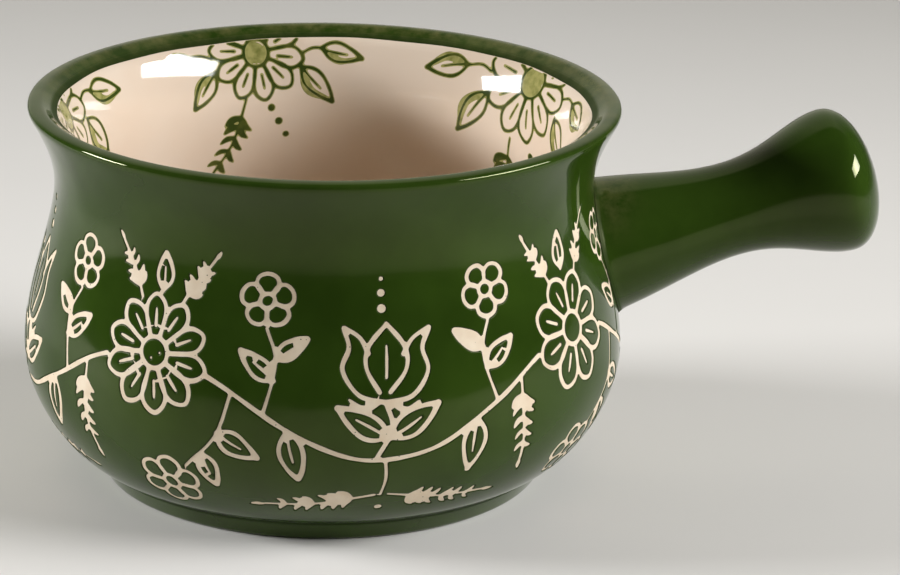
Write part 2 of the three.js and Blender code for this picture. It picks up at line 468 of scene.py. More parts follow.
AXIS = bowl_axis()
BOWL_FOOT = np.array((AXIS, 0.0, 0.0))
BOWL = Outline(bowl_path())
HANDLE = Outline(handle_path())
CREASE_ALONG = BOWL.nearest(FOOT_TOP)
RIM_ALONG = BOWL.nearest(RIM)
LIP_ALONG = BOWL.nearest(LIP_INSIDE)
END_ALONG = BOWL.along[-1]
OUTER_SPAN = (0, LIP_ALONG)
LINER_SPAN = (LIP_ALONG, END_ALONG)
WHOLE_SPAN = (0, END_ALONG)
OUTSIDE = BOWL.along < RIM_ALONG
STRIP_START, STRIP_END = np.interp((STRIP_LOW, STRIP_HIGH), BOWL.path[OUTSIDE, 1], BOWL.along[OUTSIDE])
SEAT = np.array((AXIS + (BELLY_RADIUS + NECK_RADIUS) / 2, 0.0, SEAT_HEIGHT))
HANDLE_AHEAD = np.array((math.cos(HANDLE_TILT), 0.0, math.sin(HANDLE_TILT)))
HANDLE_UP = np.array((-math.sin(HANDLE_TILT), 0.0, math.cos(HANDLE_TILT)))
HANDLE_SIDE = np.array((0.0, 1.0, 0.0))
BOWL_TURNS = np.linspace(0, FULL_TURN, COLUMNS + 1)
HANDLE_TURNS = np.linspace(0, FULL_TURN, HANDLE_COLUMNS + 1)


# Surfaces


def near(values, centre, reach):
    return np.exp(-((values - centre) / reach) ** 2)


def seam_wave(angle):
    """The uneven edge where the green and the cream meet."""
    return SEAM_WAVE * sum(share * np.sin(count * angle + phase) for share, count, phase in SEAM_WAVES)


def swung(angle, radius, height):
    """Points or directions at angles round the z axis."""
    return np.stack(np.broadcast_arrays(radius * np.cos(angle), radius * np.sin(angle), height), -1)


def bowl_points(angle, along, lift):
    """Places on the bowl's surface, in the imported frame."""
    shift = seam_wave(angle) * near(along, LIP_ALONG, SEAM_WAVE_REACH)
    radius, height, out_r, out_z = BOWL.at(along + shift)
    return BOWL_FOOT + swung(angle, radius + lift * out_r, height + lift * out_z)


def bowl_normals(angle, along, slope):
    """Directions out of a coat whose thickness grows by the slope along the outline."""
    _, _, out_r, out_z = BOWL.at(along)
    normals = swung(angle, out_r + slope * out_z, out_z - slope * out_r)
    return normals / np.linalg.norm(normals, axis=-1, keepdims=True)


def unwrapped(turn, along, span, band):
    """Texture coordinates of places round an axis. What lies along the span fills the band."""
    height = band[0] + (band[1] - band[0]) * (along - span[0]) / (span[1] - span[0])
    return np.stack(np.broadcast_arrays(turn / FULL_TURN, height), -1)


def grid_faces(rows, columns, inward=False):
    """Four-sided faces of a grid of points whose rows follow each other."""
    first = np.arange(rows - 1)[:, None] * columns + np.arange(columns - 1)
    first = first.ravel()
    faces = np.stack((first, first + 1, first + columns + 1, first + columns), 1)
    return faces[:, ::-1] if inward else faces


def row_places(start, end, step):
    return np.linspace(start, end, max(1, math.ceil((end - start) / step)) + 1)


class Shell:
    """Gathers the surfaces of one piece, then makes its mesh."""

    def __init__(self):
        self.points = []
        self.normals = []
        self.coordinates = []
        # One value per point for pooled glaze with its painted shade, and one for glaze that has run thin
        self.finish = {"pool": [], "thin": []}
        self.faces = []
        self.kinds = []
        self.count = 0

    def add(self, points, faces, coordinates, normals=None, kinds=0, **finish):
        """Adds a surface, with its material numbers, how far its glaze has pooled and is darkened with
        painted shade, and how far it has run thin.
        """
        shape = points.shape[:-1]
        self.points.append(points.reshape(-1, 3))
        self.normals.append((np.zeros(points.shape) if normals is None else normals).reshape(-1, 3))
        self.coordinates.append(coordinates.reshape(-1, 2))
        for label, values in self.finish.items():
            values.append(np.broadcast_to(finish.get(label, 0.0), shape).ravel())
        self.faces.extend((np.asarray(faces) + self.count).tolist())
        self.kinds.extend(np.broadcast_to(kinds, len(faces)).tolist())
        self.count += math.prod(shape)

    def add_grid(self, points, turn, along, span, band, inward=False, **extra):
        """Adds rows of points round an axis. What lies along the span fills a band of the texture square."""
        self.add(points, grid_faces(*points.shape[:2], inward), unwrapped(turn, along, span, band), **extra)

    def object(self, name, materials):
        """The piece, with points that coincide merged, and without faces that lie on each other."""
        points = np.vstack(self.points)
        keys = np.round(points, MERGE_DIGITS) + 0.0
        _, first, merged = np.unique(keys, axis=0, return_index=True, return_inverse=True)
        merged = merged.ravel()
        rings = [merged[face].tolist() for face in self.faces]
        times = Counter(frozenset(ring) for ring in rings)
        faces, kinds, corners = [], [], []
        for face, kind, ring in zip(self.faces, self.kinds, rings):
            kept = [i for i in range(len(ring)) if ring[i] != ring[i - 1]]
            if len(kept) > 2 and times[frozenset(ring)] == 1:
                faces.append([ring[i] for i in kept])
                corners.extend(face[i] for i in kept)
                kinds.append(kind)
        mesh = bpy.data.meshes.new(name)
        mesh.from_pydata(points[first] / METRE, [], faces, shade_flat=False)
        mesh.polygons.foreach_set("material_index", kinds)
        layer = mesh.uv_layers.new(name="OFBake")
        layer.uv.foreach_set("vector", np.vstack(self.coordinates)[corners].ravel())
        for label, values in self.finish.items():
            attribute = mesh.attributes.new(label, "FLOAT", "POINT")
            attribute.data.foreach_set("value", np.concatenate(values)[first])
        for material in materials:
            mesh.materials.append(material)
        mesh.normals_split_custom_set_from_vertices(np.vstack(self.normals)[first].tolist())
        piece = bpy.data.objects.new(name, mesh)
        bpy.context.scene.collection.objects.link(piece)
        return piece


# Hand-drawn strokes: each is a path on a flat strip and the brush's half-width along it


def spline(corners):
    """A smooth line through a few points."""
    corners = np.asarray(corners, float)
    ends = np.vstack((2 * corners[0] - corners[1], corners, 2 * corners[-1] - corners[-2]))
    t = np.linspace(0, 1, SPLINE_STEPS, endpoint=False)[:, None]
    rows = []
    for a, b, c, d in zip(ends, ends[1:], ends[2:], ends[3:]):
        rows.append(0.5 * (2 * b + (c - a) * t + (2 * a - 5 * b + 4 * c - d) * t ** 2
                           + (3 * b - a - 3 * c + d) * t ** 3))
    rows.append(corners[-1:])
    return np.vstack(rows)


def line(corners, width, start=1.0, end=1.0):
    """A stroke of one width, narrowed or widened towards its ends."""
    path = spline(corners)
    share = np.linspace(0, 1, len(path))
    return path, 0.5 * width * np.interp(share, LINE_SHARES, (start, 1, 1, end))


def blade(corners, width):
    """A solid leaflet: one stroke that swells in the middle."""
    path = spline(corners)
    share = np.linspace(0, 1, len(path))
    return path, 0.5 * width * (BLADE_TIP + (1 - BLADE_TIP) * np.sin(np.pi * share ** BLADE_POWER))


def dot(x, y, radius):
    return np.array(((x, y), (x + DOT_LENGTH, y))), np.full(2, radius)


def placed(strokes, x, y, turn=0.0, flip=1):
    """The strokes turned about their own origin, anticlockwise, and moved to a place."""
    cosine, sine = math.cos(turn), math.sin(turn)
    spin = np.array(((cosine, sine), (-sine, cosine)))
    return [((path * (flip, 1)) @ spin + (x, y), half) for path, half in strokes]


def both_sides(strokes):
    """The strokes and their mirror images."""
    return placed(strokes, 0, 0) + placed(strokes, 0, 0, flip=-1)


def leaf(length, width, pens):
    """A pointed leaf in outline with a midrib."""
    broad, fine = pens
    size = (width, length)
    sides = both_sides([line(LEAF_SIDE * size, broad, *LEAF_TAPER)])
    return sides + [line(LEAF_RIB * size, fine, *RIB_TAPER)]


def daisy(radius, petals, pens, veined=True):
    """A round flower with broad petals, seen from the front."""
    broad, fine = pens
    slope = math.tan(math.pi / petals)
    heart = DAISY_HEART * radius
    waist = (DAISY_WAIST - 1 / petals) * radius
    shoulder = (PETAL_SHOULDER * waist * slope, PETAL_SHOULDER * radius)
    half = [(heart * slope, heart), (waist * slope, waist), shoulder]
    parts = [line([(-x, y) for x, y in half] + [(0, radius)] + half[::-1], broad)]
    around = np.linspace(0, FULL_TURN, HEART_SIDES + 1)
    ring = heart * np.stack((np.cos(around), np.sin(around)), 1)
    strokes = [line(ring, broad)]
    if veined:
        parts.append(line(PETAL_VEIN * radius, fine, *VEIN_TAPER))
        for spot in HEART_DOT_PLACE * ring[:-1:HEART_SIDES // HEART_DOTS]:
            strokes.append(dot(*spot, 0.5 * fine))
    for number in range(petals):
        strokes += placed(parts, 0, 0, FULL_TURN * number / petals)
    return strokes


def tulip(height, width, pens):
    """An upright cup of three petals, seen from the side, with a small leaf on either side of its foot."""
    broad, fine = pens
    size = (width / 2, height)
    petals = [line(path * size, broad) for path in (CUP_SIDE, CUP_EDGE, CUP_MIDDLE)]
    foot_leaf = blade(CUP_LEAF * size, CUP_LEAF_WIDTH * broad)
    return both_sides(petals + [foot_leaf]) + [line(CUP_VEIN * size, fine, *VEIN_TAPER)]


def sprig(length, pairs, bend, pen):
    """A bent stem with pairs of solid leaflets and one at its end."""
    stem = spline(SPRIG_STEM * (bend, length))
    strokes = [(stem, np.full(len(stem), 0.5 * pen))]
    ahead = np.gradient(stem, axis=0)
    headings = np.arctan2(ahead[:, 1], ahead[:, 0]) - math.pi / 2
    for number in range(pairs):
        share = SPRIG_LEAVES_FROM + SPRIG_LEAVES_SPAN * number / pairs
        here = int(share * (len(stem) - 1))
        size = (LEAFLET_SIZE - LEAFLET_SHRINK * share) * length / pairs
        leaflet = blade(LEAFLET * size, LEAFLET_WIDTH * size)
        for side in (1, -1):
            strokes += placed([leaflet], *stem[here], headings[here] - side * LEAFLET_LEAN)
    tip = TIP_SIZE * length / pairs
    return strokes + placed([blade(TIP_LEAFLET * tip, TIP_WIDTH * tip)], *stem[-1], headings[-1])


def uneven(strokes, random):
    """The strokes as a hand draws them, with small waves in their place and width."""
    drawn = []
    for path, half in strokes:
        along = lengths_along(path)
        phases = random.uniform(0, FULL_TURN, 2 + len(SWELLS))
        drift = np.stack([DRIFT * np.sin(along / DRIFT_LENGTH + phase) for phase in phases[:2]], 1)
        waves = [share * np.sin(along / length + phase) for (share, length), phase in zip(SWELLS, phases[2:])]
        drawn.append((path + drift, half * sum(waves, start=1)))
    return drawn


# Layout of the outside's design: places are in millimetres on the strip


def stem_height(x, period):
    return STEM_HEIGHT + STEM_SWING * np.sin(FULL_TURN * x / period)


def along_stem(strokes, x, period, lean):
    """The strokes growing from the waving stem at x, leaning from the stem's own direction."""
    slope = STEM_SWING * FULL_TURN / period * math.cos(FULL_TURN * x / period)
    heading = math.atan(slope) - math.pi / 2
    return placed(strokes, x, stem_height(x, period), heading + math.radians(lean))


def crest_group(petals, period, random):
    """What grows round a crest of the stem. The origin is under the crest, at the strip's lower edge."""
    crest = STEM_HEIGHT + STEM_SWING
    branch_foot = stem_height(period / 4 + BRANCH_FROM_CREST, period)
    strokes = placed(daisy(DAISY_RADIUS, petals, PENS), 0, crest, random.uniform(0, 0.4))
    strokes.append(line([(BRANCH_FROM_CREST, branch_foot), (15.5, 28), (8, 19.5)], FINE_LINE))
    strokes += placed(daisy(SMALL_DAISY, 6, PENS, False), 3, 13.5, random.uniform(0, 1))
    for length, width, x, y, turn in BRANCH_LEAVES:
        strokes += placed(leaf(length, width, PENS), x, y, math.radians(turn))
    strokes += placed(sprig(20, 5, -3, FINE_LINE), -BRANCH_FROM_CREST, branch_foot, math.radians(176))
    for side in (1, -1):
        grown = sprig(14, 4, side * 2, FINE_LINE)
        strokes += placed(grown, side * 5.5, crest + 11.5, -side * math.radians(24))
    return strokes + placed(leaf(9, 4.2, PENS), 0, crest + DAISY_RADIUS + 1)


def trough_group(height, width, random):
    """What grows round a trough of the stem. The origin is under the trough, at the strip's lower edge."""
    base = STEM_HEIGHT - STEM_SWING
    strokes = [line([(-2, base), (1.5, base + 7), (0, base + 13)], STEM)]
    strokes += placed(tulip(height, width, PENS), 0, base + 13, random.uniform(-0.1, 0.1))
    for side in (1, -1):
        strokes += placed(leaf(13, 5, PENS), 0.8, base + 5, -side * math.radians(58))
        grown = sprig(25, 6, -side * 4, FINE_LINE)
        strokes += placed(grown, side * 1.5, base - 10, -side * math.radians(108))
    for number, size in enumerate((1.0, 0.8, 0.65)):
        strokes.append(dot(0, base + 16.5 + height + 3.4 * number, size))
    strokes.append(line([(0, base), (0.6, base - 5), (0, base - 10)], FINE_LINE))
    strokes.append(dot(0, base - 15, 0.9))
    return strokes


def blossom(side, random):
    """A small flower on a bent stalk with two leaves. The origin is the stalk's foot on the stem."""
    top = BLOSSOM_HEIGHT - STEM_HEIGHT
    strokes = [line([(0, 0), (2.6 * side, 0.45 * top), (0, top - BLOSSOM)], FINE_LINE)]
    strokes += placed(daisy(BLOSSOM, 5, PENS, False), 0, top, random.uniform(0, 1))
    for share, lean, size in BLOSSOM_LEAVES:
        grown = leaf(size, BLOSSOM_LEAF_WIDTH * size, PENS)
        strokes += placed(grown, 2.2 * side, share * top, side * math.radians(lean))
    return strokes


def garland(length, random):
    """The outside's design: a stem that waves round the bowl, with daisies on its crests."""
    period = length / len(DAISY_PETALS)
    clear = STEM_FROM_DAISY * DAISY_RADIUS
    strokes = []
    for repeat, petals in enumerate(DAISY_PETALS):
        crest = (repeat + 0.25) * period
        x = np.arange(crest + clear, crest + period - clear, STEM_STEP)
        strokes.append((np.stack((x, stem_height(x, period)), 1), np.full(len(x), 0.5 * STEM)))
        strokes += placed(crest_group(petals, period, random), crest, 0)
        strokes += placed(trough_group(*TULIPS[repeat % 2], random), crest + period / 2, 0)
        for share, lean, size in STEM_LEAVES:
            grown = leaf(size, STEM_LEAF_WIDTH * size, PENS)
            strokes += along_stem(grown, crest + share * period, period, lean + random.uniform(-6, 6))
        for share, side in ((0.25, 1), (0.75, -1)):
            strokes += placed(blossom(side, random), crest + share * period, STEM_HEIGHT)
    return uneven(strokes, random)


# Layout of the inside's design: places are in millimetres from the lip


def hanging_cluster(size):
    """Ink and wash of one group of flowers that hangs from the lip. Its y runs down the wall."""
    ink = placed(daisy(14 * size, 10, LINER_PENS), 0, 3, 0.16)
    wash = []
    for x, y, turn, length in CLUSTER_LEAVES:
        place = (x * size, y * size, math.radians(turn))
        long = length * size
        ink += placed(leaf(long, CLUSTER_LEAF_WIDTH * long, LINER_PENS), *place)
        wash += placed([blade(LEAF_WASH * long, WASH_WIDTH * long)], *place)
    ink += placed(sprig(27 * size, 5, 7 * size, LINER_FINE), 4 * size, 17 * size, math.radians(-8))
    for number, radius in enumerate((0.9, 0.75, 0.6)):
        ink.append(dot((-4 - 2.2 * number) * size, (20 + 4.2 * number) * size, radius))
    for side in (size, -size):
        ink.append(line([(13.5 * side, 3.4), (16.5 * side, 2.4), (20 * side, 3 * size)], LINER_FINE))
    wash.append(dot(0, 3, 3.2 * size))
    return ink, wash


def swags(length, random):
    """The inside's design: groups of flowers that hang from the lip, with bare glaze between."""
    ink, wash = [], []
    for number in range(CLUSTERS):
        some_ink, some_wash = hanging_cluster(CLUSTER_SIZES[number % 2])
        stray = random.uniform(-CLUSTER_STRAY, CLUSTER_STRAY)
        x = (number + CLUSTER_START + stray) * length / CLUSTERS
        ink += placed(some_ink, x, 0)
        wash += placed(some_wash, x, 0)
    return uneven(ink, random), uneven(wash, random)


# Distance fields of the strokes, and meshes that follow their edges


class Strip:
    """The flat strip that a stretch of the bowl's wall unrolls to, with a grid of cells for distance fields.

    It closes on itself in x.
    """

    def __init__(self, start, end, radius):
        self.radius = radius
        self.along, self.heights = BOWL.unrolled(start, end, radius)
        self.length = FULL_TURN * radius
        self.height = self.heights[-1]
        self.nx = int(round(self.length / CELL))
        self.ny = int(math.ceil(self.height / CELL))
        self.cell = np.array((self.length / self.nx, self.height / self.ny))

    def places(self):
        """x and y of every grid point, without the last column, which is the first one again."""
        return np.meshgrid(np.arange(self.nx) * self.cell[0], np.arange(self.ny + 1) * self.cell[1])

    def on_bowl(self, x, y):
        """The angle and the distance along the outline of places on the strip."""
        return x / self.radius, np.interp(y, self.heights, self.along)

    def field(self, strokes):
        """Distance to the edge of the strokes, negative inside, up to FIELD_REACH."""
        grid = np.full((self.ny + 1, self.nx), FIELD_REACH)
        for path, half in strokes:
            for a, b, wide_a, wide_b in zip(path, path[1:], half, half[1:]):
                self._lower(grid, a, b, wide_a, wide_b)
        return self._softened(grid)

    def _lower(self, grid, a, b, wide_a, wide_b):
        reach = max(wide_a, wide_b) + FIELD_REACH
        low = np.floor((np.minimum(a, b) - reach) / self.cell).astype(int)
        high = np.ceil((np.maximum(a, b) + reach) / self.cell).astype(int) + 1
        rows = np.arange(max(low[1], 0), min(high[1], self.ny + 1))
        columns = np.arange(low[0], high[0])
        x = columns * self.cell[0] - a[0]
        y = (rows * self.cell[1] - a[1])[:, None]
        step = b - a
        share = np.clip((x * step[0] + y * step[1]) / max(step @ step, TINY), 0, 1)
        gap = np.hypot(x - share * step[0], y - share * step[1]) - (wide_a + share * (wide_b - wide_a))
        window = np.ix_(rows, columns % self.nx)
        grid[window] = np.minimum(grid[window], gap)

    def _softened(self, grid):
        for _ in range(SOFTENINGS):
            grid = (np.roll(grid, 1, 1) + 2 * grid + np.roll(grid, -1, 1)) / 4
            padded = np.pad(grid, ((1, 1), (0, 0)), mode="edge")
            grid = (padded[:-2] + 2 * padded[1:-1] + padded[2:]) / 4
        return grid

    def sample(self, grid, spots):
        """The field's value at any place, between the grid points."""
        x = spots[:, 0] / self.cell[0]
        y = np.clip(spots[:, 1] / self.cell[1], 0, self.ny - WELD)
        i, j = np.floor(x).astype(int), np.floor(y).astype(int)
        u, v = x - i, y - j
        left, right = i % self.nx, (i + 1) % self.nx
        below = (1 - u) * grid[j, left] + u * grid[j, right]
        above = (1 - u) * grid[j + 1, left] + u * grid[j + 1, right]
        return (1 - v) * below + v * above

    def uphill(self, grid, spots):
        """Unit direction in which the field grows fastest."""
        step = self.cell[0]
        across = self.sample(grid, spots + (step, 0)) - self.sample(grid, spots - (step, 0))
        up = self.sample(grid, spots + (0, step)) - self.sample(grid, spots - (0, step))
        slope = np.stack((across, up), 1)
        return slope / np.maximum(np.linalg.norm(slope, axis=1), TINY)[:, None]


def crossings(grid, level):
    """Where the grid crosses a level: the places, in cells, and which of them join."""
    inside = grid < level
    flat = np.argwhere(inside[:, 1:] != inside[:, :-1])
    upright = np.argwhere(inside[1:] != inside[:-1])
    number = {}
    places = []
    for kind, edges, right, up in (("flat", flat, 1, 0), ("upright", upright, 0, 1)):
        j, i = edges.T
        low, high = grid[j, i], grid[j + up, i + right]
        share = (level - low) / (high - low)
        places.append(np.stack((i + right * share, j + up * share), 1))
        for edge in edges.tolist():
            number[(kind, *edge)] = len(number)
    corner = inside[:-1, :-1].astype(int) + inside[:-1, 1:] + inside[1:, :-1] + inside[1:, 1:]
    links = []
    for j, i in np.argwhere((corner > 0) & (corner < 4)).tolist():
        sides = [("flat", j, i), ("upright", j, i + 1), ("flat", j + 1, i), ("upright", j, i)]
        met = [number[side] for side in sides if side in number]
        if len(met) == 2:
            links.append(met)
        elif (grid[j:j + 2, i:i + 2].mean() < level) == inside[j, i]:
            links += [[met[0], met[1]], [met[2], met[3]]]
        else:
            links += [[met[0], met[3]], [met[1], met[2]]]
    return np.vstack(places), links


def chains(count, links):
    """Runs of joined places, open ones first. A closed run ends on its first place."""
    beside = [[] for _ in range(count)]
    for a, b in links:
        beside[a].append(b)
        beside[b].append(a)
    used = [False] * count
    runs = []
    starts = [v for v in range(count) if len(beside[v]) == 1] + list(range(count))
    for start in starts:
        if used[start]:
            continue
        run = []
        ahead = [start]
        while ahead:
            run.append(ahead[0])
            used[ahead[0]] = True
            ahead = [v for v in beside[run[-1]] if not used[v]]
        if len(run) > 2 and start in beside[run[-1]]:
            run.append(start)
        runs.append(run)
    return runs


def edge_lines(strip, grid, level):
    """The lines on the strip where a field has a level, as rows of places, without very short loops."""
    closed = np.hstack((grid, grid[:, :1]))
    places, links = crossings(closed, level)
    rows = []
    for run in chains(len(places), links):
        path = places[run] / (strip.nx, strip.ny) * (strip.length, strip.height)
        if run[0] != run[-1] or lengths_along(path)[-1] > SHORTEST_LOOP:
            rows.append(respaced(path, CONTOUR_STEP))
    return rows


def background(strip, fields):
    """Grid points that are clear of every line, in columns that the rest of the bowl shares."""
    rows = int(round(strip.height / GRID_ROW))
    columns = np.arange(COLUMNS + 1) * strip.length / COLUMNS
    x, y = np.meshgrid(columns, np.linspace(0, strip.height, rows + 1))
    spots = np.stack((x.ravel(), y.ravel()), 1)
    clear = np.ones(len(spots), bool)
    for field, level in fields:
        clear &= np.abs(strip.sample(field, spots) - level) > CLEAR_OF_LINES
    clear |= (spots[:, 1] == 0) | (spots[:, 1] == strip.height)
    return spots[clear]


def triangulated(strip, fields):
    """Triangles over the strip that follow the lines of several (field, level) pairs.

    Returns places, triangles, the index of the pair whose line each place is on, or -1, and for each triangle
    the number of its region, which the lines bound.
    """
    spots = [background(strip, fields)]
    tags = [np.full(len(spots[0]), -1)]
    walls = []
    count = len(spots[0])
    for tag, (field, level) in enumerate(fields):
        for path in edge_lines(strip, field, level):
            closed = np.allclose(path[0], path[-1])
            path = path[:-1] if closed else path
            ring = list(range(count, count + len(path)))
            walls += zip(ring, ring[1:] + ring[:1]) if closed else zip(ring, ring[1:])
            spots.append(path)
            tags.append(np.full(len(path), tag))
            count += len(path)
    spots, tags = np.vstack(spots), np.concatenate(tags)
    found = delaunay_2d_cdt([Vector(p) for p in spots], [tuple(w) for w in walls], [], 0, WELD, True)
    origin = [source[0] if source else None for source in found[3]]
    places = np.array([place[:] if i is None else spots[i] for place, i in zip(found[0], origin)])
    tags = np.array([-1 if i is None else tags[i] for i in origin])
    barred = {frozenset(edge) for edge, source in zip(found[1], found[4]) if source}
    triangles = np.array(found[2])
    return places, triangles, tags, regions(triangles, barred)


def regions(triangles, barred):
    """Numbers the triangles so that those that meet across an edge that isn't barred share a number."""
    beside = {}
    for number, (a, b, c) in enumerate(triangles.tolist()):
        for edge in ((a, b), (b, c), (c, a)):
            beside.setdefault(frozenset(edge), []).append(number)
    reach = [[] for _ in range(len(triangles))]
    for edge, pair in beside.items():
        if len(pair) == 2 and edge not in barred:
            reach[pair[0]].append(pair[1])
            reach[pair[1]].append(pair[0])
    region = np.full(len(triangles), -1)
    total = 0
    for start in range(len(triangles)):
        if region[start] >= 0:
            continue
        region[start] = total
        pending = [start]
        while pending:
            for other in reach[pending.pop()]:
                if region[other] < 0:
                    region[other] = total
                    pending.append(other)
        total += 1
    return region


def region_means(strip, field, places, triangles, region):
    """The mean of a field over each triangle's region."""
    corners = places[triangles]
    first, second = corners[:, 1] - corners[:, 0], corners[:, 2] - corners[:, 0]
    area = np.abs(first[:, 0] * second[:, 1] - first[:, 1] * second[:, 0]) + TINY
    values = strip.sample(field, corners.mean(1))
    means = np.bincount(region, area * values) / np.bincount(region, area)
    return means[region]


# Bowl pieces


def lip_thinning(angle):
    """How far the glaze has run off the lip, which it has most at the back and towards the handle."""
    share = np.clip(0.5 + LIP_THIN_SWING * np.sin(angle + LIP_THIN_TURN), 0, 1)
    return LIP_THIN_LEAST + (1 - LIP_THIN_LEAST) * share


def fill_lift(along):
    """Height above the clay of the clear coat that fills the lines, on the strip where lines are drawn."""
    places = (STRIP_START - FILL_REACH, STRIP_START, STRIP_END, STRIP_END + FILL_REACH)
    return LINE_FILL * np.interp(along, places, (0, 1, 1, 0))


def foot_lift(along):
    """The coat's thickness, which rounds off to nothing at the wiped foot."""
    rest = np.clip(1 - along / FOOT_EDGE_ROUND, 0, 1)
    return GLAZE * np.sqrt(1 - rest ** 2)


def seam_lift(along):
    """The coat's thickness near the line where the green and the cream meet."""
    return GLAZE - (GLAZE - SEAM_LIFT) * np.exp(-np.abs(along - LIP_ALONG) / SEAM_REACH)


def handle_gap(points):
    """Distance of points from the handle's seat, negative where the handle covers the bowl."""
    offset = points - SEAT
    ahead = offset @ HANDLE_AHEAD
    aside = offset - ahead[..., None] * HANDLE_AHEAD
    radius = np.interp(ahead, HANDLE.path[:, 1], HANDLE.path[:, 0])
    gap = np.linalg.norm(aside, axis=-1) - radius - SEAT_GAP
    return np.where(np.abs(ahead) < ROOT_DEPTH, gap, FIELD_REACH)


def ring_surface(shell, along, lift, span, band, inward=False, shaded=False, **extra):
    """Adds rows of points round the bowl at the given distances and lifts."""
    place = along[:, None]
    if shaded:
        extra["normals"] = bowl_normals(BOWL_TURNS, place, np.gradient(lift, along)[:, None])
    points = bowl_points(BOWL_TURNS, place, lift[:, None])
    shell.add_grid(points, BOWL_TURNS, place, span, band, inward, **extra)


def close_seam(shell, inward):
    """The thin wall between the clay and the coat's surface, along the line where the two coats meet."""
    rise = np.array(((SEAM_LIFT,), (0.0,)))
    shell.add_grid(bowl_points(BOWL_TURNS, LIP_ALONG, rise), BOWL_TURNS, rise, (0, 1), SEAM_BAND, inward)


def outer_field(strip):
    """Distance on the strip from the drawn lines and the handle's seat, negative where there is no green."""
    design = garland(strip.length, np.random.RandomState(SEED))
    lines = strip.field(placed(design, DESIGN_TURN * STRIP_RADIUS, 0))
    angle, along = strip.on_bowl(*strip.places())
    seat = handle_gap(bowl_points(angle, along, 0.0))
    return np.minimum(lines, seat * STRIP_RADIUS / BOWL.at(along)[0])


def glazed_triangles(strip, field, levels):
    """Places, triangles and line tags of the parts of the strip that are glazed."""
    spots, triangles, tags, region = triangulated(strip, [(field, level) for level in levels])
    glazed = region_means(strip, field, spots, triangles, region) > 0
    return spots, triangles[glazed], tags


def add_outer_face(shell, strip, field):
    """The green coat's surface on the strip, rounded off towards the lines."""
    levels = (0.0, EDGE_ROUND)
    spots, triangles, tags = glazed_triangles(strip, field, levels)
    depth = strip.sample(field, spots)
    for tag, level in enumerate(levels):
        depth[tags == tag] = level
    rest = np.clip(1 - depth / EDGE_ROUND, 0, 1)
    step = GLAZE - LINE_FILL
    angle, along = strip.on_bowl(*spots.T)
    _, _, out_r, out_z = BOWL.at(along)
    across = np.stack((-np.sin(angle), np.cos(angle), np.zeros_like(angle)), 1)
    upward = swung(angle, -out_z, out_r)
    uphill = strip.uphill(field, spots)
    edge = uphill[:, :1] * across + uphill[:, 1:] * upward
    normals = EDGE_ROUND * bowl_normals(angle, along, 0.0) - 2 * step * rest[:, None] * edge
    normals /= np.linalg.norm(normals, axis=1)[:, None]
    # Along the lines' edges: rougher pooled glaze, and painted shade that darkens the green there
    shell.add(bowl_points(angle, along, LINE_FILL + step * (1 - rest ** 2)), triangles,
              unwrapped(angle, along, OUTER_SPAN, OUTER_BANDS[0]), normals,
              pool=np.exp(-np.maximum(depth, 0) / EDGE_POOL_SHADE_REACH))


def make_outer_glaze(material):
    """The green coat. The lines of the design are gaps in it, with rounded edges, down to the clay."""
    strip = Strip(STRIP_START, STRIP_END, STRIP_RADIUS)
    field = outer_field(strip)
    face, back = OUTER_BANDS
    shell = Shell()
    add_outer_face(shell, strip, field)

    lip_start = RIM_ALONG - LIP_ROWS_FROM_RIM
    low = row_places(0, STRIP_START, FINE_ROW_STEP)
    high = np.concatenate((row_places(STRIP_END, lip_start, ROW_STEP)[:-1],
                           row_places(lip_start, LIP_ALONG, LIP_ROW_STEP)))
    thin = near(high, RIM_ALONG + LIP_THIN_FROM_RIM, LIP_THIN_REACH)[:, None] * lip_thinning(BOWL_TURNS)
    # Pooled glaze with painted shade in the foot's crease and at the seam with the cream
    ring_surface(shell, low, foot_lift(low), OUTER_SPAN, face, shaded=True,
                 pool=near(low, CREASE_ALONG, CREASE_POOL_SHADE_REACH)[:, None])
    ring_surface(shell, high, seam_lift(high), OUTER_SPAN, face, shaded=True, thin=thin,
                 pool=SEAM_POOL_SHADE * near(high, LIP_ALONG, SEAM_POOL_SHADE_REACH)[:, None])

    spots, triangles, _ = glazed_triangles(strip, field, (0.0,))
    angle, along = strip.on_bowl(*spots.T)
    shell.add(bowl_points(angle, along, fill_lift(along)), triangles[:, ::-1],
              unwrapped(angle, along, OUTER_SPAN, back))
    for rows in (low, high):
        ring_surface(shell, rows, fill_lift(rows), OUTER_SPAN, back, inward=True)
    close_seam(shell, inward=False)
    return shell.object("outer_glaze_coat", [material])


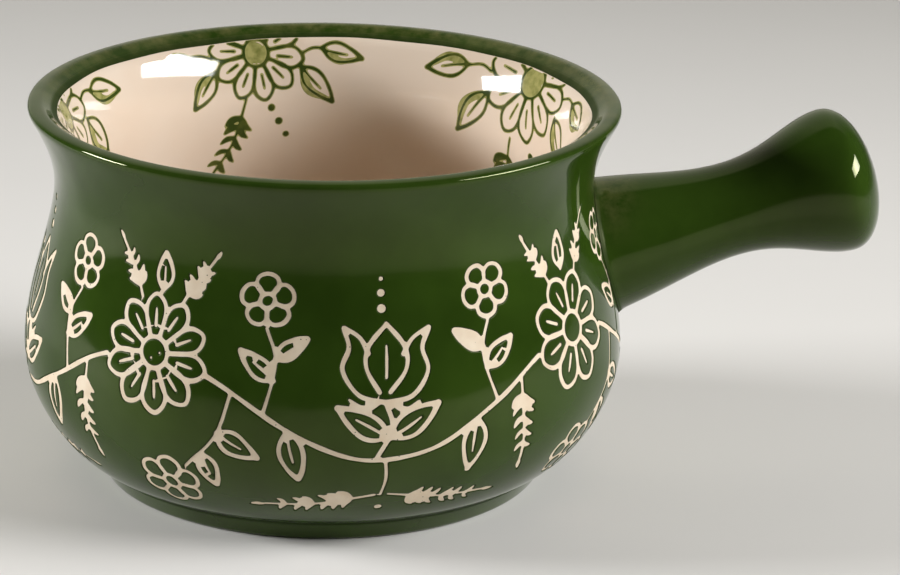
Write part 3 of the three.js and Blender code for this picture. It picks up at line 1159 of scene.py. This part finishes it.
def make_liner_glaze(materials):
    """The cream coat inside, with its drawn design as faces of ink and wash."""
    strip_end = LIP_ALONG + LINER_DEPTH
    strip = Strip(LIP_ALONG, strip_end, LINER_RADIUS)
    ink, wash = swags(strip.length, np.random.RandomState(SEED + 1))
    _, y = strip.places()
    ink_field = np.maximum(strip.field(ink), LINER_MARGIN - y)
    wash_field = np.minimum(strip.field(wash), ink_field - LINER_FRINGE)
    wash_field = np.minimum(np.maximum(wash_field, 2 * LINER_MARGIN - y), ink_field - LINER_FRINGE / 2)
    spots, triangles, _, region = triangulated(strip, [(ink_field, 0.0), (wash_field, 0.0)])
    inked = region_means(strip, ink_field, spots, triangles, region) < 0
    washed = region_means(strip, wash_field, spots, triangles, region) < 0
    angle, along = strip.on_bowl(*spots.T)
    slope = (GLAZE - SEAM_LIFT) / SEAM_REACH * np.exp(-(along - LIP_ALONG) / SEAM_REACH)
    face, back = LINER_BANDS
    shell = Shell()
    shell.add(bowl_points(angle, along, seam_lift(along)), triangles,
              unwrapped(angle, along, LINER_SPAN, face), bowl_normals(angle, along, slope),
              np.where(inked, INK_FACES, WASH_FACES * washed))
    low = row_places(strip_end, END_ALONG, ROW_STEP)
    behind = row_places(LIP_ALONG, END_ALONG, BACK_ROW_STEP)
    ring_surface(shell, low, seam_lift(low), LINER_SPAN, face, shaded=True)
    ring_surface(shell, behind, np.zeros_like(behind), WHOLE_SPAN, back, inward=True)
    close_seam(shell, inward=True)
    return shell.object("liner_glaze_coat", materials)


def make_bowl_body(materials):
    """The bare clay: the outer wall shows in the lines and the ring shows under the foot."""
    under = Outline(np.array(((0, BASE_RECESS), (RECESS_RADIUS, BASE_RECESS), (FOOT_INSIDE, 0),
                              (FOOT_RADIUS - FOOT_BEVEL, 0), FOOT_EDGE)))
    places = row_places(0, under.along[-1], FINE_ROW_STEP)
    radius, height, _, _ = under.at(places)
    radius[0] = 0.0
    points = BOWL_FOOT + swung(BOWL_TURNS, radius[:, None], height[:, None])
    outside = row_places(0, LIP_ALONG, FINE_ROW_STEP)
    inside = row_places(LIP_ALONG, END_ALONG, BACK_ROW_STEP)
    outside_band, inside_band = CLAY_BANDS
    shell = Shell()
    shell.add_grid(points, BOWL_TURNS, places[:, None], (0, places[-1]), UNDER_BAND)
    ring_surface(shell, outside, fill_lift(outside), OUTER_SPAN, outside_band, kinds=1)
    ring_surface(shell, inside, np.zeros_like(inside), WHOLE_SPAN, inside_band)
    return shell.object("bowl_clay", materials)


def make_base_glaze(material):
    """The coat in the recess under the bowl, with a rounded edge."""
    flat_end = 1 - BASE_EDGE_SHARE
    edge = 1 - BASE_EDGE_SHARE * np.cos(np.linspace(0, math.pi / 2, BASE_EDGE_ROWS))[1:]
    share = np.concatenate((np.linspace(0, flat_end, BASE_ROWS), edge))[:, None]
    rest = np.clip((share - flat_end) / BASE_EDGE_SHARE, 0, 1)
    drop = GLAZE * np.sqrt(1 - rest ** 2)
    shell = Shell()
    for level, band, inward in zip((drop, 0.0), BASE_BANDS, (False, True)):
        points = BOWL_FOOT + swung(BOWL_TURNS, share * RECESS_RADIUS, BASE_RECESS - level)
        shell.add_grid(points, BOWL_TURNS, share, (0, 1), band, inward)
    return shell.object("base_glaze_coat", [material])


# Handle


def handle_points(turn, radius, ahead):
    """Places round the handle's axis. The turn starts at the top."""
    aside = radius[..., None] * (np.cos(turn)[..., None] * HANDLE_UP + np.sin(turn)[..., None] * HANDLE_SIDE)
    return SEAT + ahead[..., None] * HANDLE_AHEAD + aside


def seat_start(lift):
    """Distance along the handle's outline at which each of its sides comes out of the bowl's coat."""
    near_end = np.full(len(HANDLE_TURNS), HANDLE.nearest((ROOT_RADIUS, -ROOT_DEPTH)))
    far_end = np.full(len(HANDLE_TURNS), HANDLE.nearest((WAIST_RADIUS, WAIST_FROM_SEAT)))
    wall = (BOWL.path + GLAZE * BOWL.out)[OUTSIDE]
    for _ in range(SEAT_HALVINGS):
        middle = (near_end + far_end) / 2
        radius, ahead, out_r, out_a = HANDLE.at(middle)
        spots = handle_points(HANDLE_TURNS, radius + lift * out_r, ahead + lift * out_a)
        inside = np.hypot(spots[:, 0] - AXIS, spots[:, 1]) < np.interp(spots[:, 2], wall[:, 1], wall[:, 0])
        near_end = np.where(inside, middle, near_end)
        far_end = np.where(inside, far_end, middle)
    return near_end


def add_handle_surface(shell, coat, fillet, band, inward):
    """Adds one side of the handle's coat. Returns the points of its edge at the bowl."""
    share = np.linspace(0, 1, HANDLE_ROWS)[:, None] ** HANDLE_ROW_POWER
    start = seat_start(coat + fillet)
    along = start + (HANDLE.along[-1] - start) * share
    from_root = along - start
    radius, ahead, out_r, out_a = HANDLE.at(along)
    lift = coat + fillet * np.exp(-from_root / FILLET_REACH)
    reach = np.maximum(radius + lift * out_r, 0.0)
    reach[-1] = 0.0
    points = handle_points(HANDLE_TURNS, reach, ahead + lift * out_a)
    upper_side = np.clip(np.cos(HANDLE_TURNS), 0, 1) ** 2
    thin = HANDLE_THIN * near(from_root, HANDLE_THIN_FROM_ROOT, HANDLE_THIN_REACH) * upper_side
    # Pooled glaze with painted shade at the handle's root, where it meets the bowl
    shell.add_grid(points, HANDLE_TURNS, share, (0, 1), band, not inward,
                   pool=np.exp(-from_root / HANDLE_POOL_SHADE_REACH), thin=thin)
    return points[0]


def make_handle_glaze(material):
    """The green coat on the handle, with a small fillet where it meets the bowl, and the vent hole."""
    face, back = HANDLE_BANDS
    shell = Shell()
    edges = np.stack((add_handle_surface(shell, GLAZE, FILLET, face, inward=False),
                      add_handle_surface(shell, 0.0, 0.0, back, inward=True)))
    shell.add_grid(edges, HANDLE_TURNS, np.array(((0,), (1,))), (0, 1), HANDLE_SEAM_BAND)
    piece = shell.object("handle_glaze_coat", [material])
    cut_vent(piece)
    return piece


def cut_vent(piece):
    """Cuts the vent hole on the handle's underside."""
    bpy.ops.mesh.primitive_cylinder_add(
        vertices=VENT_SIDES, radius=VENT_RADIUS / METRE, depth=2 * ROOT_RADIUS / METRE)
    cutter = bpy.context.object
    middle = Vector(SEAT + VENT_FROM_SEAT * HANDLE_AHEAD - ROOT_RADIUS * HANDLE_UP) / METRE
    aim = Vector(-HANDLE_UP).to_track_quat("Z", "Y").to_matrix().to_4x4()
    cutter.matrix_world = Matrix.Translation(middle) @ aim
    cut = piece.modifiers.new("vent", "BOOLEAN")
    cut.operation = "DIFFERENCE"
    cut.solver = "EXACT"
    cut.object = cutter
    bpy.context.view_layer.objects.active = piece
    bpy.ops.object.modifier_apply(modifier=cut.name)
    bpy.data.objects.remove(cutter)


# Materials


class Nodes:
    """A node tree and the few nodes that this scene uses."""

    def __init__(self, tree, coordinates):
        self.tree = tree
        self.place = tree.nodes.new("ShaderNodeTexCoord").outputs[coordinates]

    def feed(self, socket, value):
        """Links a socket to another one, or gives it a value."""
        if isinstance(value, bpy.types.NodeSocket):
            self.tree.links.new(value, socket)
        else:
            socket.default_value = value

    def node(self, kind, inputs, **settings):
        """A new node, with inputs by name or number."""
        made = self.tree.nodes.new(kind)
        for label, setting in settings.items():
            setattr(made, label, setting)
        for label, value in inputs.items():
            self.feed(made.inputs[label], value)
        return made

    def calculate(self, operation, *values):
        return self.node("ShaderNodeMath", dict(enumerate(values)), operation=operation).outputs["Value"]

    def ranged(self, value, low, high, to_low=0.0, to_high=1.0):
        inputs = {"Value": value, "From Min": low, "From Max": high, "To Min": to_low, "To Max": to_high}
        return self.node("ShaderNodeMapRange", inputs).outputs["Result"]


class Paint(Nodes):
    """A Principled material. Sizes and depths are in millimetres."""

    def __init__(self, name, ior=IOR):
        self.material = bpy.data.materials.new(name)
        self.material.use_nodes = True
        super().__init__(self.material.node_tree, "Object")
        self.shader = self.tree.nodes["Principled BSDF"].inputs
        self.feed(self.shader["IOR"], ior)

    def attribute(self, name):
        return self.node("ShaderNodeAttribute", {}, attribute_name=name).outputs["Fac"]

    def noise(self, size, detail, roughness=0.5):
        """Cloudy noise whose features are about that size."""
        inputs = {"Vector": self.place, "Scale": METRE / size, "Detail": detail, "Roughness": roughness}
        return self.node("ShaderNodeTexNoise", inputs).outputs["Fac"]

    def specks(self, spacing, size):
        """One in round spots of that size, at scattered places that far apart, and nought elsewhere."""
        cells = self.node("ShaderNodeTexVoronoi", {"Vector": self.place, "Scale": METRE / spacing})
        return self.ranged(cells.outputs["Distance"], size / spacing, SPECK_CORE * size / spacing)

    def mixed(self, share, *colours):
        """A colour between two, each of which is a socket or three numbers."""
        inputs = {"Factor": share}
        for socket, colour in zip(MIX_COLOURS, colours):
            inputs[socket] = (*colour, 1.0) if isinstance(colour, tuple) else colour
        return self.node("ShaderNodeMix", inputs, data_type="RGBA").outputs[MIX_RESULT]

    def clouds(self, size, detail, pale, dark, low=CLOUDS[0], high=CLOUDS[1]):
        return self.mixed(self.ranged(self.noise(size, detail), low, high), pale, dark)

    def ripples(self, size, detail, depth, **over):
        """A bumpy normal, on top of another one if that is given as Normal."""
        inputs = {"Height": self.noise(size, detail), "Distance": depth / METRE, **over}
        return self.node("ShaderNodeBump", inputs).outputs["Normal"]

    def finished(self, colour, roughness, **more):
        """The material, with any more of the shader's inputs by name."""
        for label, value in {"Base Color": colour, "Roughness": roughness, **more}.items():
            self.feed(self.shader[label], value)
        return self.material


def darker(colour, share):
    return tuple(share * part for part in colour)


def green_glaze():
    """Deep green, rougher where it has pooled, with painted shade darkening it in the foot's crease, at the
    seam with the cream, at the handle's root and along the lines' edges, and olive where it has run thin.
    """
    paint = Paint("green_glaze", GREEN_IOR)
    paint.feed(paint.shader["Specular Tint"], (*GREEN_SHINE, 1.0))
    pool = paint.attribute("pool")
    paint.feed(paint.shader["Specular IOR Level"], paint.ranged(pool, POOL_SHOWS, POOL_ROUGH, *POOL_SPECULAR))
    # Painted shade: the green darkens where the glaze pools, in creases, at seams, at the handle's root and
    # along the lines' edges
    pooled_and_shaded = paint.mixed(paint.ranged(pool, POOL_SHOWS, 1, 0, POOL_SHADE_COVER),
                         paint.clouds(14, 3, GREEN, GREEN_DEEP), GREEN_POOLED_SHADE)
    patches = paint.ranged(paint.noise(5, 4, roughness=0.7), *THIN_CLOUDS)
    thin = paint.calculate("MULTIPLY", paint.attribute("thin"), patches)
    colour = paint.mixed(paint.ranged(thin, 0, 1, 0, THIN_COVER), pooled_and_shaded, GREEN_THIN)
    roughness = paint.ranged(pool, POOL_SHOWS, POOL_ROUGH, GREEN_ROUGHNESS, POOL_ROUGHNESS)
    waves = paint.ripples(16, 1, depth=0.25)
    return paint.finished(colour, roughness, Normal=paint.ripples(2.2, 1, depth=0.004, Normal=waves))


def cream_glaze():
    paint = Paint("cream_glaze")
    cloudy = paint.clouds(22, 3, CREAM, CREAM_WARM)
    specked = paint.mixed(paint.specks(spacing=9, size=0.10), cloudy, CLAY_DARK)
    return paint.finished(specked, roughness=0.06, Normal=paint.ripples(*LINER_RIPPLES))


def liner_colour(name, size, pale, dark, low):
    """A colour of the design inside, in clouds of that size."""
    paint = Paint(name)
    cloudy = paint.clouds(size, 4, pale, dark, low, high=0.75)
    return paint.finished(cloudy, roughness=0.07, Normal=paint.ripples(*LINER_RIPPLES))


def line_clay():
    """The bare wall that shows in the lines, with small spots of green left on it."""
    paint = Paint("line_clay")
    cloudy = paint.clouds(4, 4, CLAY_LINE, CLAY_LINE_WARM)
    specked = paint.mixed(paint.specks(spacing=1.9, size=0.16), cloudy, GREEN_DEEP)
    return paint.finished(specked, roughness=0.55, Normal=paint.ripples(0.5, 3, depth=0.02))


def plain_clay(name, pale, dark):
    paint = Paint(name)
    cloudy = paint.clouds(5, 5, pale, dark)
    specked = paint.mixed(paint.specks(spacing=2.4, size=0.14), cloudy, darker(dark, 0.5))
    return paint.finished(specked, roughness=0.8, Normal=paint.ripples(0.6, 4, depth=0.03))


# Studio


def add_camera():
    """The camera at the photograph's viewing angle, placed from the bowl's axis."""
    lens = bpy.data.cameras.new("camera")
    lens.lens = LENS
    lens.sensor_width = SENSOR
    lens.clip_start, lens.clip_end = CLIP_METRES
    camera = bpy.data.objects.new("camera", lens)
    bpy.context.scene.collection.objects.link(camera)
    camera.matrix_world = (
        Matrix.Translation((AXIS / METRE, 0, 0))
        @ Matrix.Rotation(HANDLE_AZIMUTH, 4, "Z")
        @ Matrix.Translation(Vector((0, -CAMERA_DISTANCE, CAMERA_HEIGHT)) / METRE)
        @ Matrix.Rotation(-CAMERA_YAW, 4, "Z")
        @ Matrix.Rotation(math.pi / 2 - CAMERA_PITCH, 4, "X")
        @ Matrix.Rotation(CAMERA_ROLL, 4, "Z")
    )
    bpy.context.scene.camera = camera


def add_softbox(name, azimuth, elevation, width, height, watts):
    """A soft lamp that faces the bowl."""
    lamp = bpy.data.lights.new(name, "AREA")
    lamp.shape = "RECTANGLE"
    lamp.size = width
    lamp.size_y = height
    lamp.energy = watts
    lamp.spread = LAMP_SPREAD
    softbox = bpy.data.objects.new(name, lamp)
    bpy.context.scene.collection.objects.link(softbox)
    around, rise = math.radians(azimuth), math.radians(elevation)
    back = Vector((math.cos(around) * math.cos(rise), -math.sin(around) * math.cos(rise), math.sin(rise)))
    softbox.location = Vector((AXIS, 0, LAMP_TARGET)) / METRE + LAMP_METRES * back
    softbox.rotation_euler = (-back).to_track_quat("-Z", "Y").to_euler()


def add_world():
    """Surroundings that are dim but for a pale band behind, which rises from the floor almost to overhead."""
    world = bpy.data.worlds.new("studio")
    world.use_nodes = True
    nodes = Nodes(world.node_tree, "Generated")
    parts = nodes.node("ShaderNodeSeparateXYZ", {"Vector": nodes.place})
    top = (0, math.sin(PALE_TOP), -math.cos(PALE_TOP))
    under_top = nodes.node("ShaderNodeVectorMath", {0: nodes.place, 1: top}, operation="DOT_PRODUCT")
    across = nodes.ranged(nodes.calculate("ABSOLUTE", parts.outputs["X"]), *PALE_SIDES)
    upward = nodes.ranged(under_top.outputs["Value"], 0, PALE_TOP_SOFTNESS)
    strength = nodes.ranged(nodes.calculate("MULTIPLY", across, upward), 0, 1, DIM, PALE)
    sky = world.node_tree.nodes["Background"].inputs
    nodes.feed(sky["Color"], (*BACKDROP, 1))
    nodes.feed(sky["Strength"], strength)
    bpy.context.scene.world = world


def add_floor():
    bpy.ops.mesh.primitive_circle_add(vertices=STAGE_SIDES, radius=STAGE_METRES, fill_type="NGON")
    floor = bpy.context.object
    floor.name = "floor"
    paint = Paint("floor")
    colour = paint.mixed(paint.noise(60, 3), FLOOR, darker(FLOOR, 0.97))
    floor.data.materials.append(paint.finished(colour, roughness=0.7))


def paint_node(name, material):
    """Gives a CAD node that stays in view its finish."""
    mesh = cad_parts[name].data
    mesh.materials.clear()
    mesh.materials.append(material)


def main():
    add_camera()
    add_floor()
    add_world()
    for softbox in SOFTBOXES:
        add_softbox(*softbox)
    bpy.context.scene.view_settings.view_transform = "Standard"

    green = green_glaze()
    cream = cream_glaze()
    wash = liner_colour("liner_wash", 2, WASH, WASH_DEEP, low=0.4)
    ink = liner_colour("liner_ink", 3, INK, INK_THIN, low=0.45)
    clay = plain_clay("clay", CLAY, CLAY_DARK)
    slip = plain_clay("slip", CLAY_DARK, darker(CLAY_DARK, 0.8))
    pieces = (
        (make_outer_glaze(green), "outer_glaze", "green_glaze"),
        (make_liner_glaze([cream, wash, ink]), "liner_glaze", "cream_glaze"),
        (make_bowl_body([clay, line_clay()]), "bowl_body", "stoneware"),
        (make_base_glaze(green), "base_glaze", "green_glaze"),
        (make_handle_glaze(green), "handle_glaze", "green_glaze"),
    )
    for piece, node, slot in pieces:
        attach(piece, "root")
        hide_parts(node)
    paint_node("handle_body", clay)
    paint_node("handle_luting_slip", slip)


main()
